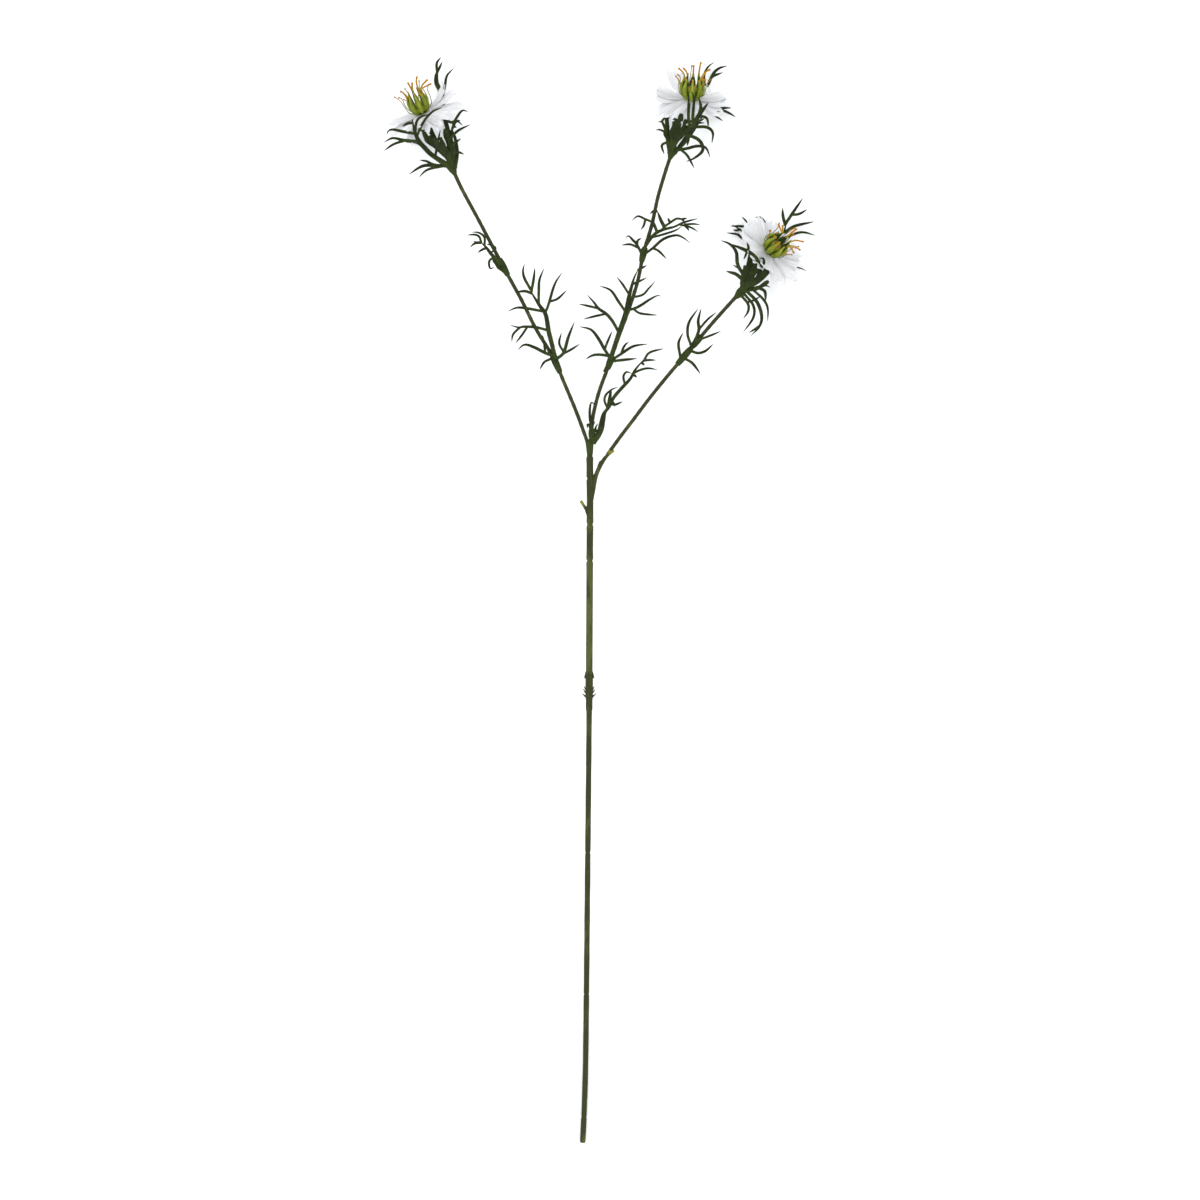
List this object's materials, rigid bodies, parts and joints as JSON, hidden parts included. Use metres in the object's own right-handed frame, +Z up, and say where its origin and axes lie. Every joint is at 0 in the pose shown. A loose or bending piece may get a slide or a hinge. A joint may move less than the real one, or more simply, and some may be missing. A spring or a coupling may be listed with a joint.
{
  "type": "artificial nigella flower spray",
  "caption": "Artificial white nigella spray lying down: wired branched stem, ferny leaves and bracts, toothed cloth petals and green seed-pod centres.",
  "frame": {"origin": "on the surface it lies on, under the middle of its bounding box", "axes": "+Y along the stem from the cut end to the flowers, +X to the right seen from above, +Z up"},
  "size_m": [0.2861, 0.7205, 0.0547],
  "materials": {
    "stem_plastic": "semi-matt moulded polyethylene, olive green",
    "leaf_plastic": "semi-matt moulded polyethylene, dark green with a fine grain",
    "wire": "drawn galvanised wire",
    "petal_cloth": "stiffened white polyester satin, die cut and heat pressed",
    "anther_flock": "orange dyed thread with flocked ends",
    "pod_plastic": "soft yellow-green plastic with orange tips"
  },
  "bodies": {
    "root": {"lower_stem": "stem_plastic", "upper_stem": "stem_plastic", "barb_collar": "leaf_plastic", "main_wire": "wire", "left_branch": "stem_plastic", "left_wire": "wire", "centre_branch": "stem_plastic", "centre_wire": "wire", "right_branch": "stem_plastic", "right_wire": "wire", "left_lower_leaf": "leaf_plastic", "left_upper_leaf": "leaf_plastic", "centre_lower_leaf": "leaf_plastic", "centre_upper_leaf": "leaf_plastic", "fork_leaf": "leaf_plastic", "right_leaf": "leaf_plastic", "left_bracts": "leaf_plastic", "left_calyx": "leaf_plastic", "left_lower_petals": "petal_cloth", "left_upper_petals": "petal_cloth", "left_stamens": "anther_flock", "left_pod": "pod_plastic", "centre_bracts": "leaf_plastic", "centre_calyx": "leaf_plastic", "centre_lower_petals": "petal_cloth", "centre_upper_petals": "petal_cloth", "centre_stamens": "anther_flock", "centre_pod": "pod_plastic", "right_bracts": "leaf_plastic", "right_calyx": "leaf_plastic", "right_lower_petals": "petal_cloth", "right_upper_petals": "petal_cloth", "right_stamens": "anther_flock", "right_pod": "pod_plastic"}
  },
  "joints": []
}
